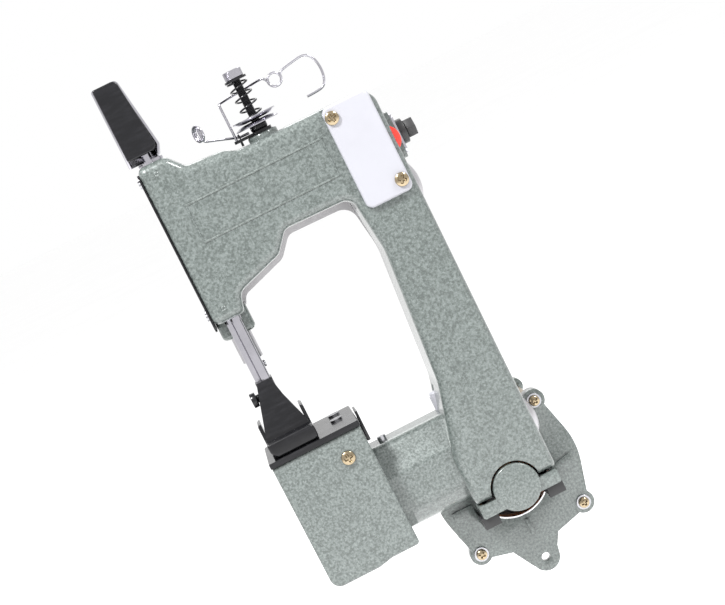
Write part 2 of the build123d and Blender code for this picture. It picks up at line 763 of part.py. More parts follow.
vent_count = 12
with BuildPart() as motor_rear_cover:
    with BuildSketch(xz(rear_bearing_y + motor_bearing_w + 2)):
        with Locations((motor_x, motor_z)):
            Circle(drum_r)
    extrude(amount=rear_bearing_y + motor_bearing_w + 2 - drum_end)
    fillet(motor_rear_cover.faces().sort_by(Axis.Y)[-1].edges(), radius=4)
    with BuildSketch(xz(rear_bearing_y + motor_bearing_w - 1)):
        with Locations((motor_x, motor_z)):
            Circle(drum_r - 2.6)
            Circle(motor_bearing_r + 2.5, mode=Mode.SUBTRACT)
    extrude(amount=rear_bearing_y + motor_bearing_w - 1 - drum_end, mode=Mode.SUBTRACT)
    with BuildSketch(xz(rear_bearing_y + motor_bearing_w)):
        with Locations((motor_x, motor_z)):
            Circle(motor_bearing_r)
    extrude(amount=rear_bearing_y + motor_bearing_w - drum_end, mode=Mode.SUBTRACT)
    with BuildSketch(xz(rear_bearing_y + motor_bearing_w + 3)):
        with Locations((motor_x, motor_z)):
            with PolarLocations(23.5, vent_count):
                SlotOverall(13, 3.2)
    extrude(amount=6, mode=Mode.SUBTRACT)
save(motor_rear_cover, "motor_rear_cover")

brush_tilt = 32.0
holder_x, holder_z = 19.6, -124.5       # outer blocks, seen below the strap
with BuildPart() as brush_holders:
    for side in (-1, 1):
        with BuildSketch(xz(bell_y + 12)):
            with Locations((motor_x + side * 14.65 * math.cos(math.radians(brush_tilt)),
                            motor_z - 14.65 * math.sin(math.radians(brush_tilt)))):
                Rectangle(10.7, 8.6, rotation=-side * brush_tilt)
        extrude(amount=18)
        with BuildSketch(xz(bell_y)):
            with Locations((motor_x + side * holder_x, holder_z)):
                Rectangle(9.6, 7)
        extrude(amount=bell_y + 12)
save(brush_holders, "brush_holders")

# ---- shafts and drive ---------------------------------------------------
wheel_r, wheel_w, wheel_teeth = 9.8, 8.0, 18
with BuildPart() as lower_shaft:
    with BuildSketch(yz(-98)):
        with Locations((lower_y, lower_z)):
            Circle(shaft_r)
    extrude(amount=98 + pulley_x + pulley_w + 1)
    with BuildSketch(yz(-96)):
        with Locations((lower_y, lower_z + 2)):
            Circle(8)
    extrude(amount=8)
save(lower_shaft, "lower_shaft")

with BuildPart() as worm_wheel:
    with BuildSketch(yz(motor_x - wheel_w / 2)):
        with Locations((lower_y, lower_z)):
            Circle(wheel_r)
            with PolarLocations(wheel_r, wheel_teeth):
                Rectangle(3.2, 1.5, mode=Mode.SUBTRACT)
            Circle(shaft_r, mode=Mode.SUBTRACT)
    extrude(amount=wheel_w)
save(worm_wheel, "worm_wheel")

for name, y, z in [("lower_pulley", lower_y, lower_z), ("upper_pulley", upper_y, upper_z)]:
    with BuildPart() as pulley:
        with BuildSketch(yz(pulley_x)):
            with Locations((y, z)):
                Circle(pulley_r)
                with PolarLocations(pulley_r, 16):
                    Circle(0.7, mode=Mode.SUBTRACT)
                Circle(shaft_r, mode=Mode.SUBTRACT)
        extrude(amount=pulley_w)
    save(pulley, name)

belt_t = 1.4
with BuildPart() as timing_belt:
    with BuildSketch(yz(pulley_x + 0.3)):
        for reach, mode in [(pulley_r + gap + belt_t, Mode.ADD), (pulley_r + gap, Mode.SUBTRACT)]:
            lean = math.degrees(math.atan2(upper_y - lower_y, upper_z - lower_z))
            span = math.hypot(upper_y - lower_y, upper_z - lower_z)
            with Locations(((upper_y + lower_y) / 2, (upper_z + lower_z) / 2)):
                SlotCenterToCenter(span, 2 * reach, rotation=90 - lean, mode=mode)
    extrude(amount=pulley_w - 0.6)
save(timing_belt, "timing_belt")

disc_x0, disc_x1 = -94.0, -88.0
with BuildPart() as upper_shaft:
    with BuildSketch(yz(disc_x1)):
        with Locations((upper_y, upper_z)):
            Circle(shaft_r)
    extrude(amount=pulley_x + pulley_w + 1 - disc_x1)
save(upper_shaft, "upper_shaft")

with BuildPart() as crank_disc:
    with BuildSketch(yz(disc_x0)):
        with Locations((upper_y, upper_z)):
            Circle(16)
        with Locations((upper_y, upper_z + crank_r)):
            Circle(2.5, mode=Mode.SUBTRACT)
        with Locations((upper_y, upper_z - crank_r + 1)):
            SlotOverall(14, 5, mode=Mode.SUBTRACT)
    extrude(amount=disc_x1 - disc_x0)
save(crank_disc, "crank_disc")

# Connecting rod with its crank pin; the pin stops short of the disc.
rod_x0, rod_x1 = -98.5, -94.6
stud_z = upper_z + crank_r - rod_len
stud_r = 3.0
with BuildPart() as connecting_rod:
    with BuildSketch(yz(rod_x0)):
        with Locations((upper_y, upper_z + crank_r)):
            Circle(6.2)
        with Locations((upper_y, stud_z)):
            Circle(4.6)
        with Locations((upper_y, stud_z + rod_len / 2)):
            Rectangle(5.5, rod_len - 4)
        with Locations((upper_y, stud_z)):
            Circle(stud_r + 0.05, mode=Mode.SUBTRACT)
    extrude(amount=rod_x1 - rod_x0)
    with BuildSketch(yz(rod_x1)):
        with Locations((upper_y, upper_z + crank_r)):
            Circle(2.4)
    extrude(amount=0.3)
save(connecting_rod, "connecting_rod")

# ---- needle bar ---------------------------------------------------------
bar_foot, bar_head = 4.0, 150.0
with BuildPart() as needle_bar:
    with BuildSketch(Plane.XY.offset(bar_foot)):
        with Locations((needle_x, needle_y)):
            Circle(bar_r)
    extrude(amount=bar_head - bar_foot)
    chamfer(needle_bar.edges().filter_by(GeomType.CIRCLE), length=0.6)
    with BuildSketch(yz(needle_x)):
        with Locations((needle_y, stud_z)):
            Circle(stud_r)
    extrude(amount=rod_x1 - needle_x)
    with BuildSketch(yz(needle_x)):
        with Locations((needle_y, stud_z)):
            RectangleRounded(8.4, 8.4, 2)
    extrude(amount=4.7)
    with BuildSketch(Plane.XY.offset(bar_foot)):
        with Locations((needle_x, needle_y)):
            Circle(1.0)
    extrude(amount=15, mode=Mode.SUBTRACT)
    with BuildSketch(yz(needle_x)):
        with Locations((needle_y, bar_foot + 3.0)):
            Circle(1.0)
    extrude(amount=5, mode=Mode.SUBTRACT)
save(needle_bar, "needle_bar")

needle_tip = -26.0
with BuildPart() as needle:
    with BuildSketch(Plane.XY.offset(bar_foot - 6)):
        with Locations((needle_x, needle_y)):
            Circle(1.0)
    extrude(amount=21)
    with BuildSketch(Plane.XY.offset(needle_tip + 5)):
        with Locations((needle_x, needle_y)):
            Circle(0.7)
    extrude(amount=bar_foot - 6 - needle_tip - 5)
    with Locations((needle_x, needle_y, needle_tip + 2.5)):
        Cone(0.1, 0.7, 5)
save(needle, "needle")

with BuildPart() as needle_clamp_screw:
    with BuildSketch(yz(needle_x + 1.0)):
        with Locations((needle_y, bar_foot + 3.0)):
            Circle(1.0)
    extrude(amount=3)
    with BuildSketch(yz(needle_x + bar_r + 0.1)):
        with Locations((needle_y, bar_foot + 3.0)):
            Circle(1.9)
    extrude(amount=1.6)
save(needle_clamp_screw, "needle_clamp_screw")

# ---- presser ------------------------------------------------------------
presser_foot_z = 1.0                     # top of the foot's clamp block
sole_z = plate_top + gap
with BuildPart() as presser_bars:
    for (x, y), top in zip(presser_spots, (123.2, 150.0)):
        with BuildSketch(Plane.XY.offset(presser_foot_z - 12)):
            with Locations((x, y)):
                Circle(presser_r)
        extrude(amount=top - presser_foot_z + 12)
    # collar that clamps both rods and takes the spring's push
    with BuildSketch(Plane.XY.offset(72)):
        with BuildLine():
            FilletPolyline((-98.8, -18.6), (-98.8, -5.0), (-109.4, -5.0), (-109.4, -18.6), radius=2.5, close=True)
        make_face()
    extrude(amount=8)
save(presser_bars, "presser_bars")

with BuildPart() as presser_spring:
    spring_x, spring_y = presser_spots[1]
    with BuildSketch(Plane.XY.offset(80)):
        with Locations((spring_x, spring_y)):
            Circle(3.6)
            Circle(2.7, mode=Mode.SUBTRACT)
    extrude(amount=44.8)
save(presser_spring, "presser_spring")

with BuildPart() as presser_foot:
    # clamp block round the two rods
    with BuildSketch(Plane.XY.offset(-11)):
        with Locations((-103.7, -12.0)):
            RectangleRounded(9.6, 13.6, 2)
    extrude(amount=11 + presser_foot_z)
    # flared web down to the sole
    with BuildSketch(xz(-16.5)):
        add(closed_outline([(-108.0, 0.6, 1.5), (-99.8, 0.6, 1.5), (-97.6, -10, 8), (-91.4, -30, 1), (-91.4, -35, 1),
                            (-117.2, -35, 1), (-117.2, -30, 1)]))
    extrude(amount=3.2)
    # low side walls behind the web
    with BuildSketch(xz(3)):
        add(closed_outline([(-117.6, -37, 0.3), (-117.6, -20.5, 0.6), (-115.6, -19, 0.6), (-115.6, -37, 0.3)]))
        add(closed_outline([(-92.8, -37, 0.3), (-92.8, -19, 0.6), (-90.9, -20.5, 0.6), (-90.9, -37, 0.3)]))
    extrude(amount=19.5)
    # sole with a turned-up toe, drawn from the side
    with BuildSketch(yz(-117.2)):
        with BuildLine():
            Polyline((-24.0, -31.0), (-24.0, sole_z), (24, sole_z), (29, sole_z + 4.5),
                     (27.8, sole_z + 6.2), (22.8, sole_z + 3.2), (-16.5, sole_z + 3.2), (-16.5, -28.0), close=True)
        make_face()
    extrude(amount=26.2)
    # turned-down lip in front
    with BuildSketch(xz(-22.0)):
        add(closed_outline([(-117.8, -29.6, 1.5), (-90.6, -29.6, 2.5), (-90.6, sole_z, 2.5), (-117.4, sole_z, 5)]))
    extrude(amount=5.0)
    fillet(presser_foot.faces().sort_by(Axis.Y)[0].edges(), radius=1.4)
    # needle slot and bores for the rods
    with BuildSketch(Plane.XY.offset(sole_z - 1)):
        with Locations((needle_x, needle_y)):
            SlotOverall(16, 5, rotation=90)
    extrude(amount=6, mode=Mode.SUBTRACT)
    for x, y in presser_spots:
        with BuildSketch(Plane.XY.offset(presser_foot_z - 12)):
            with Locations((x, y)):
                Circle(presser_r)
        extrude(amount=14, mode=Mode.SUBTRACT)
save(presser_foot, "presser_foot")

with BuildPart() as presser_foot_screw:
    with BuildSketch(yz(-108.5)):
        with Locations((-12, -7.0)):
            Circle(2.2)
    extrude(amount=-2.8)
    with BuildSketch(yz(-111.3)):
        with Locations((-12, -7.0)):
            Circle(4.1)
    extrude(amount=-3.0)
    with BuildSketch(yz(-114.5)):
        with Locations((-12, -7.0)):
            Rectangle(6.4, 1)
    extrude(amount=1.4, mode=Mode.SUBTRACT)
save(presser_foot_screw, "presser_foot_screw")

# ---- feed and looper ----------------------------------------------------
tooth_top = plate_top - 0.3
with BuildPart() as feed_dog:
    for dx in feed_x:
        with BuildSketch(yz(needle_x + dx - feed_w / 2)):
            with BuildLine():
                points = [(needle_y - feed_len / 2, -48)]
                for i in range(9):
                    points.append((needle_y - feed_len / 2 + 2 * i, tooth_top - 1.2))
                    points.append((needle_y - feed_len / 2 + 2 * i + 1.8, tooth_top))
                points.append((needle_y + feed_len / 2, -48))
                Polyline(*points, close=True)
            make_face()
        extrude(amount=feed_w)
    with BuildSketch(Plane.XY.offset(-50)):
        with Locations((needle_x, needle_y)):
            Rectangle(18, feed_len)
            Rectangle(6, feed_len - 6, mode=Mode.SUBTRACT)
    extrude(amount=3)
save(feed_dog, "feed_dog")

with BuildPart() as feed_bar:
    with BuildSketch(yz(needle_x + 9.0)):
        with BuildLine():
            Polyline((-8, -50), (-8, -45), (12, -45), (20, -54), (20, -60), (14, -60), (8, -50), close=True)
        make_face()
    extrude(amount=4)
save(feed_bar, "feed_bar")

looper_y, looper_z = 14.0, -88.0
with BuildPart() as looper_shaft:
    with BuildSketch(yz(-112)):
        with Locations((looper_y, looper_z)):
            Circle(3.0)
    extrude(amount=50)
    with BuildSketch(yz(-112)):
        with Locations((looper_y, looper_z)):
            Circle(6.0)
    extrude(amount=13)
save(looper_shaft, "looper_shaft")

with BuildPart() as looper:
    with BuildSketch(yz(needle_x - 4.4)):
        with BuildLine():
            Polyline((looper_y - 3, looper_z + 6), (looper_y + 3, looper_z + 6), (looper_y + 3, -55),
                     (looper_y - 2, -52), (-1.5, -53.2), (-6.5, -54.6), (-1.5, -55.6), (looper_y - 4, -57.5), close=True)
        make_face()
    extrude(amount=2.4)
save(looper, "looper")

# ---- switch and cable gland ---------------------------------------------
with BuildPart() as switch_cover:
    with BuildSketch(xz(near_y)):
        with Locations((-0.15, 86.2)):
            RectangleRounded(27.1, 58.4, 4)
    extrude(amount=near_y - switch_face_y)
    fillet(switch_cover.faces().sort_by(Axis.Y)[0].edges(), radius=1.4)
    with BuildSketch(xz(near_y)):
        with Locations(*switch_screw_spots):
            Circle(screw_hole_r + 0.15)
    extrude(amount=4, mode=Mode.SUBTRACT)
save(switch_cover, "switch_cover")

rocker_y, rocker_z = -14.2, 85.3
pivot_x, pivot_r = 11.0, 1.0
with BuildPart() as switch_body:
    with BuildSketch(yz(-2)):
        with Locations((rocker_y, rocker_z)):
            Rectangle(9, 18)
    extrude(amount=14.6)
    with BuildSketch(yz(4)):
        with Locations((rocker_y, rocker_z)):
            Rectangle(7.6, 13.6)
    extrude(amount=10, mode=Mode.SUBTRACT)
    with BuildSketch(xz(rocker_y + 6)):
        with Locations((pivot_x, rocker_z)):
            Circle(pivot_r + 0.1)
    extrude(amount=12, mode=Mode.SUBTRACT)
save(switch_body, "switch_body")

with BuildPart() as rocker:
    with BuildSketch(xz(rocker_y + 3.4)):
        with BuildLine():
            Line((9.5, rocker_z - 5.4), (9.5, rocker_z + 5.4))
            Line((9.5, rocker_z + 5.4), (16.6, rocker_z + 6.0))
            ThreePointArc((16.6, rocker_z + 6.0), (19.2, rocker_z), (16.6, rocker_z - 6.0))
            Line((16.6, rocker_z - 6.0), (9.5, rocker_z - 5.4))
        make_face()
    extrude(amount=6.8)
    with BuildSketch(xz(rocker_y + 4.4)):
        with Locations((pivot_x, rocker_z)):
            Circle(pivot_r)
    extrude(amount=8.8)
save(rocker, "rocker")

boss_back = grip_back + 3.6
with BuildPart() as gland_plate:
    with BuildSketch(yz(boss_back)):
        with Locations((gland_y, gland_z)):
            RectangleRounded(18, 23, 3)
            Circle(4.6, mode=Mode.SUBTRACT)
    extrude(amount=1.5)
save(gland_plate, "gland_plate")

with BuildPart() as gland_body:
    with BuildSketch(yz(boss_back - 8)):
        with Locations((gland_y, gland_z)):
            Circle(4.5)
    extrude(amount=9.5)
    with BuildSketch(yz(boss_back + 1.5)):
        with Locations((gland_y, gland_z)):
            Circle(7)
    extrude(amount=4)
    with BuildSketch(yz(boss_back + 5.5)):
        with Locations((gland_y, gland_z)):
            Circle(4)
    extrude(amount=3)
    with BuildSketch(yz(boss_back - 8)):
        with Locations((gland_y, gland_z)):
            Circle(3.0)
    extrude(amount=18, mode=Mode.SUBTRACT)
save(gland_body, "gland_body")

with BuildPart() as gland_nut:
    with BuildSketch(yz(boss_back + 6.0)):
        with Locations((gland_y, gland_z)):
            RegularPolygon(5.6, 6)
            Circle(4.0, mode=Mode.SUBTRACT)
    extrude(amount=5)
save(gland_nut, "gland_nut")

# ---- thread tension and guides ------------------------------------------
post_top = 154.6
collar_top = 124.8
spring_z0, spring_z1 = 126.9, 149.0
with BuildPart() as tension_post:
    with BuildSketch(Plane.XY.offset(110)):
        with Locations((tension_x, tension_y)):
            Circle(2.4)
    extrude(amount=post_top - 110)
    with BuildSketch(Plane.XY.offset(boss_top + 1.6)):
        with Locations((tension_x, tension_y)):
            Circle(4.8)
    extrude(amount=collar_top - boss_top - 1.6)
save(tension_post, "tension_post")

with BuildPart() as tension_discs:
    for z, flip in [(125.7, -1), (126.1, 1)]:
        with BuildSketch(Plane.XZ.offset(-tension_y)):
            with BuildLine():
                Polyline((tension_x + 2.5, z), (tension_x + 7.2, z), (tension_x + 12.3, z + flip * 1.7),
                         (tension_x + 12.3, z + flip * 2.3), (tension_x + 7.2, z + flip * 0.7),
                         (tension_x + 2.5, z + flip * 0.7), close=True)
            make_face()
        revolve(axis=Axis((tension_x, tension_y, 0), (0, 0, 1)))
save(tension_discs, "tension_discs")

with BuildPart() as tension_spring:
    with BuildSketch(Plane.XY.offset(spring_z0)):
        with Locations((tension_x, tension_y)):
            Circle(5.9)
            Circle(4.9, mode=Mode.SUBTRACT)
    extrude(amount=spring_z1 - spring_z0)
save(tension_spring, "tension_spring")

with BuildPart() as spring_cap:
    with BuildSketch(Plane.XY.offset(spring_z1)):
        with Locations((tension_x, tension_y)):
            Circle(6.2)
            Circle(2.5, mode=Mode.SUBTRACT)
    extrude(amount=1.2)
save(spring_cap, "spring_cap")

with BuildPart() as tension_nut:
    with BuildSketch(Plane.XY.offset(spring_z1 + 1.3)):
        with Locations((tension_x, tension_y)):
            Circle(5.2)
            with PolarLocations(5.2, 24):
                Circle(0.3, mode=Mode.SUBTRACT)
            Circle(2.5, mode=Mode.SUBTRACT)
    extrude(amount=4.8)
save(tension_nut, "tension_nut")

with BuildPart() as thread_bracket:
    with BuildSketch(Plane.XY.offset(boss_top)):
        with Locations((tension_x - 5.5, tension_y)):
            RectangleRounded(20, 8, 2)
        with Locations((tension_x, tension_y)):
            Circle(6.2)
            Circle(2.5, mode=Mode.SUBTRACT)
    extrude(amount=1.6)
    # round tab at the bracket's end
    with BuildSketch(yz(tension_x - 12.6)):
        with Locations((tension_y, boss_top - 0.2)):
            Circle(4.6)
        with Locations((tension_y, boss_top - 4.9)):
            Rectangle(12, 5, mode=Mode.SUBTRACT)
    extrude(amount=1.2)
save(thread_bracket, "thread_bracket")

wire_r = 0.9
bracket_top = boss_top + 1.6


def wire(points, radii):
    """Round wire bent along a line of points with arcs at the corners."""
    with BuildPart() as bent:
        with BuildLine() as path:
            FilletPolyline(*points, radius=radii)
        with BuildSketch(Plane(origin=path.line @ 0, z_dir=path.line % 0)):
            Circle(wire_r)
        sweep(transition=Transition.ROUND)
    return bent.part


with BuildPart() as tall_thread_guide:
    add(wire([(-58.9, 0, bracket_top), (-58.9, 1, 141.8), (-45.0, 9.5, 143.0), (-31.0, 3, 144.2),
              (-25.9, 0, 136.2), (-21.0, -3, 143.6), (-8.0, 0, 146.0), (-1.6, 0, 139.0), (-3.0, 0, 126.6),
              (-13.0, 0, 124.8)],
             [2.5, 5.0, 2.2, 2.2, 2.2, 2.5, 3.0, 2.5]))
save(tall_thread_guide, "tall_thread_guide")

with BuildPart() as eyelet_thread_guide:
    with Locations((-75.5, 0, 132.5)):
        Torus(3.0, wire_r, rotation=(90, 0, 0))
    add(wire([(-73.9, 0, 129.9), (-72.5, 0, 127.4), (-60.0, 4.4, 122.6), (-55.0, 4.4, bracket_top + 0.9),
              (-51.0, 3.4, bracket_top + 0.9)], [1.0, 2.0, 1.5]))
save(eyelet_thread_guide, "eyelet_thread_guide")
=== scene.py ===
"""Hand-held bag closer sewing machine: finishes, fine shapes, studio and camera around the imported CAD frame.

Row frame in metres: +X from the needle to the back of the handle, +Y from the open side to the motor, +Z up.
"""
import json
import math

import bmesh
import bpy
from mathutils import Matrix, Vector


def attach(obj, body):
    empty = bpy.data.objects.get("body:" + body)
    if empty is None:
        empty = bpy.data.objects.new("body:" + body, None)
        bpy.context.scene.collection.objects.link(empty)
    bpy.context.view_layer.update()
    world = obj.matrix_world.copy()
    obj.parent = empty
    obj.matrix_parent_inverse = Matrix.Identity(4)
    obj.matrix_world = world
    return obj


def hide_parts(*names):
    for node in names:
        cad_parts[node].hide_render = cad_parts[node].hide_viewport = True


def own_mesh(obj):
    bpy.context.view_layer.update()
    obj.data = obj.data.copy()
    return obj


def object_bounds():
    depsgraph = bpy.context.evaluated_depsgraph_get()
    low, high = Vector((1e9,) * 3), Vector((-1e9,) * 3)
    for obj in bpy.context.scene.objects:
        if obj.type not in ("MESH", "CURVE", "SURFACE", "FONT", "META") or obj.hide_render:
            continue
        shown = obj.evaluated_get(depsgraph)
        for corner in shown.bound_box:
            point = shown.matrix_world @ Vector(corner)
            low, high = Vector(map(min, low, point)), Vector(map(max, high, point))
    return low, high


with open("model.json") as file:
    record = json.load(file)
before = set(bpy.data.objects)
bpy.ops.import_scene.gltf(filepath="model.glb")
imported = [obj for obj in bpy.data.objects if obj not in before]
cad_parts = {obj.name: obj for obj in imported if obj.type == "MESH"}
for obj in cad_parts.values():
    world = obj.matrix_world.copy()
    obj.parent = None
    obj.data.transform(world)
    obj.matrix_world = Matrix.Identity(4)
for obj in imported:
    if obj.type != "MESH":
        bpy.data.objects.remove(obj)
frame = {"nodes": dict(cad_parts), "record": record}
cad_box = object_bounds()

MM = 0.001
nodes = frame["nodes"]
slots = {entry["node"]: entry["material_slot"] for entry in frame["record"]["subparts"]}
body_of_node = {}
for body_name, members in frame["record"]["behaviour"]["bodies"].items():
    for member in members:
        body_of_node[member] = body_name


# ---- node-based materials -----------------------------------------------
class Finish:
    """A material under construction: a Principled shader plus short helpers that add texture nodes."""

    def __init__(self, name, colour, roughness, metallic=0.0, coat=0.0, coat_roughness=0.1, ior=1.5):
        self.material = bpy.data.materials.new(name)
        self.material.use_nodes = True
        self.tree = self.material.node_tree
        self.shader = self.tree.nodes["Principled BSDF"]
        self.shader.inputs["Base Color"].default_value = (*colour, 1)
        self.shader.inputs["Roughness"].default_value = roughness
        self.shader.inputs["Metallic"].default_value = metallic
        self.shader.inputs["Coat Weight"].default_value = coat
        self.shader.inputs["Coat Roughness"].default_value = coat_roughness
        self.shader.inputs["IOR"].default_value = ior
        self.coords = self.node("ShaderNodeTexCoord").outputs["Object"]

    def node(self, kind):
        return self.tree.nodes.new(kind)

    def link(self, source, target):
        self.tree.links.new(source, target)

    def stretched(self, scale):
        mapping = self.node("ShaderNodeMapping")
        mapping.inputs["Scale"].default_value = scale
        self.link(self.coords, mapping.inputs["Vector"])
        return mapping.outputs["Vector"]

    def noise(self, scale, detail=3.0, roughness=0.55, vector=None):
        made = self.node("ShaderNodeTexNoise")
        made.inputs["Scale"].default_value = scale
        made.inputs["Detail"].default_value = detail
        made.inputs["Roughness"].default_value = roughness
        made.inputs["Distortion"].default_value = 0.0
        self.link(vector or self.coords, made.inputs["Vector"])
        return made

    def smooth_cells(self, scale, vector, smoothness):
        made = self.node("ShaderNodeTexVoronoi")
        made.feature = "SMOOTH_F1"
        made.inputs["Scale"].default_value = scale
        made.inputs["Smoothness"].default_value = smoothness
        self.link(vector, made.inputs["Vector"])
        return made

    def ramp(self, source, stops):
        made = self.node("ShaderNodeValToRGB")
        elements = made.color_ramp.elements
        while len(elements) < len(stops):
            elements.new(0.5)
        for element, (place, colour) in zip(elements, stops):
            element.position = place
            element.color = (*colour, 1)
        self.link(source, made.inputs["Fac"])
        return made.outputs["Color"]

    def grey_ramp(self, source, stops):
        return self.ramp(source, [(place, (value,) * 3) for place, value in stops])

    def mix(self, factor, first, second, blend="MIX"):
        made = self.node("ShaderNodeMix")
        made.data_type = "RGBA"
        made.blend_type = blend
        for value, socket in ((factor, made.inputs[0]), (first, made.inputs[6]), (second, made.inputs[7])):
            if hasattr(value, "links"):
                self.link(value, socket)
            elif isinstance(value, tuple):
                socket.default_value = (*value, 1)
            else:
                socket.default_value = value
        return made.outputs[2]

    def colour(self, source):
        self.link(source, self.shader.inputs["Base Color"])

    def rough(self, source, low, high):
        made = self.node("ShaderNodeMapRange")
        made.inputs["To Min"].default_value = low
        made.inputs["To Max"].default_value = high
        self.link(source, made.inputs["Value"])
        self.link(made.outputs["Result"], self.shader.inputs["Roughness"])

    def bump(self, *layers):
        """Chain height layers given as (height socket, strength, depth in mm)."""
        normal = None
        for height, strength, depth in layers:
            made = self.node("ShaderNodeBump")
            made.inputs["Strength"].default_value = strength
            made.inputs["Distance"].default_value = depth * MM
            self.link(height, made.inputs["Height"])
            if normal is not None:
                self.link(normal, made.inputs["Normal"])
            normal = made.outputs["Normal"]
        self.link(normal, self.shader.inputs["Normal"])
        return self.material


def hammertone(name, dark, mid, light, cell=1000.0):
    """Hammered enamel: rounded islands about 1 mm across (cell is their number per metre) and pale flecks."""
    f = Finish(name, mid, 0.34, metallic=0.10, coat=0.75, coat_roughness=0.09)
    wobble = f.noise(cell * 0.8, 2.0)
    vector = f.mix(0.0012, f.coords, wobble.outputs["Color"], "ADD")
    islands = f.smooth_cells(cell, vector, 0.4)
    blotch = f.noise(cell * 0.75, 3.0, 0.6)
    fleck = f.noise(cell * 1.5, 2.0, 0.7)
    base = f.ramp(blotch.outputs["Fac"], [(0.38, dark), (0.5, mid), (0.62, light)])
    veins = f.grey_ramp(islands.outputs["Distance"], [(0.15, 1.06), (0.45, 0.92), (0.75, 1.18)])
    shaded = f.mix(1.0, base, veins, "MULTIPLY")
    spark = f.grey_ramp(fleck.outputs["Fac"], [(0.60, 0.0), (0.70, 0.6)])
    f.colour(f.mix(spark, shaded, tuple(min(1.0, c * 1.5) for c in light)))
    f.rough(blotch.outputs["Fac"], 0.26, 0.44)
    return f.bump((islands.outputs["Distance"], 0.5, 0.07), (blotch.outputs["Fac"], 0.4, 0.07))


def glossy_black(name, colour, roughness, coat):
    """Black gloss coating with faint orange peel and fine scuffs."""
    f = Finish(name, colour, roughness, coat=coat, coat_roughness=0.05, ior=1.35)
    peel = f.noise(420.0, 3.0)
    scuff = f.noise(90.0, 6.0, 0.7, f.stretched((1, 1, 6)))
    f.colour(f.ramp(scuff.outputs["Fac"], [(0.45, colour), (0.75, tuple(c * 2.0 + 0.003 for c in colour))]))
    f.rough(scuff.outputs["Fac"], roughness * 0.7, roughness * 1.7)
    return f.bump((peel.outputs["Fac"], 0.12, 0.05))


def metal(name, colour, roughness, grain=(40, 40, 900), depth=0.012, spots=0.08):
    """Bare or plated metal with grain running along one axis and faint smudges."""
    f = Finish(name, colour, roughness, metallic=1.0)
    lines = f.noise(1.0, 4.0, 0.6, f.stretched(grain))
    smudge = f.noise(55.0, 4.0, 0.6)
    deep = tuple(c * (1 - spots * 2) for c in colour)
    f.colour(f.ramp(smudge.outputs["Fac"], [(0.35, deep), (0.7, colour)]))
    f.rough(lines.outputs["Fac"], roughness * 0.6, roughness * 1.5)
    return f.bump((lines.outputs["Fac"], 0.25, depth))


def plastic(name, colour, roughness, grain=900.0, depth=0.02, coat=0.0):
    """Moulded plastic with a fine spark-eroded grain and slight tone drift."""
    f = Finish(name, colour, roughness, coat=coat)
    fine = f.noise(grain, 3.0, 0.6)
    drift = f.noise(28.0, 3.0)
    f.colour(f.ramp(drift.outputs["Fac"], [(0.3, tuple(c * 0.93 for c in colour)), (0.7, colour)]))
    f.rough(fine.outputs["Fac"], roughness * 0.8, roughness * 1.25)
    return f.bump((fine.outputs["Fac"], 0.3, depth))


def striped(name, first, second, pitch, axis, roughness, metallic):
    """Fine layers across one axis, such as laminations or windings."""
    f = Finish(name, first, roughness, metallic=metallic)
    wave = f.node("ShaderNodeTexWave")
    wave.bands_direction = axis
    wave.inputs["Scale"].default_value = 0.05 / (pitch * MM)
    wave.inputs["Distortion"].default_value = 0.6
    f.link(f.coords, wave.inputs["Vector"])
    f.colour(f.ramp(wave.outputs["Fac"], [(0.3, first), (0.7, second)]))
    grit = f.noise(600.0)
    f.rough(grit.outputs["Fac"], roughness * 0.8, roughness * 1.3)
    return f.bump((wave.outputs["Fac"], 0.4, pitch * 0.3))


finishes = {
    "hammertone_paint": hammertone(
        "hammertone", (0.060, 0.072, 0.067), (0.094, 0.110, 0.104), (0.128, 0.147, 0.141)),
    "motor_paint": hammertone(
        "motor_enamel", (0.060, 0.075, 0.069), (0.085, 0.105, 0.097), (0.120, 0.142, 0.133), 900.0),
    "cover_metal": metal("cover_metal", (0.46, 0.45, 0.46), 0.42, (200, 200, 200), 0.01, 0.03),
    "black_gloss": glossy_black("black_gloss", (0.003, 0.003, 0.004), 0.18, 0.22),
    "black_steel": glossy_black("black_steel", (0.004, 0.004, 0.005), 0.20, 0.16),
    "polished_steel": metal("polished_steel", (0.50, 0.49, 0.53), 0.16, (30, 30, 900), 0.006),
    "brushed_steel": metal("brushed_steel", (0.48, 0.47, 0.49), 0.28, (600, 600, 30), 0.015),
    "bearing_steel": metal("bearing_steel", (0.66, 0.66, 0.68), 0.22, (300, 300, 300), 0.01),
    "brass_screws": metal("yellow_zinc", (0.42, 0.34, 0.225), 0.20, (500, 500, 500), 0.012, 0.16),
    "zinc_screws": metal("bright_zinc", (0.42, 0.42, 0.44), 0.24, (500, 500, 500), 0.012),
    "bronze": metal("bronze", (0.58, 0.40, 0.20), 0.32, (300, 60, 300), 0.02),
    "white_plastic": plastic("white_plastic", (0.33, 0.33, 0.36), 0.32, coat=0.15),
    "red_plastic": plastic("red_plastic", (0.78, 0.035, 0.02), 0.26, coat=0.3),
    "black_plastic": plastic("black_plastic", (0.018, 0.018, 0.019), 0.42, 700.0, 0.04),
    "rubber_black": plastic("black_rubber", (0.016, 0.016, 0.016), 0.7, 500.0, 0.06),
    "laminations": striped("laminations", (0.10, 0.10, 0.11), (0.30, 0.30, 0.31), 0.5, "Y", 0.5, 0.8),
    "copper_windings": striped(
        "copper_windings", (0.36, 0.13, 0.05), (0.62, 0.27, 0.12), 0.6, "Y", 0.35, 0.6),
}


def paint(piece, slot_name):
    """Give a piece the finish of a record slot."""
    piece.data.materials.clear()
    piece.data.materials.append(finishes[slot_name])


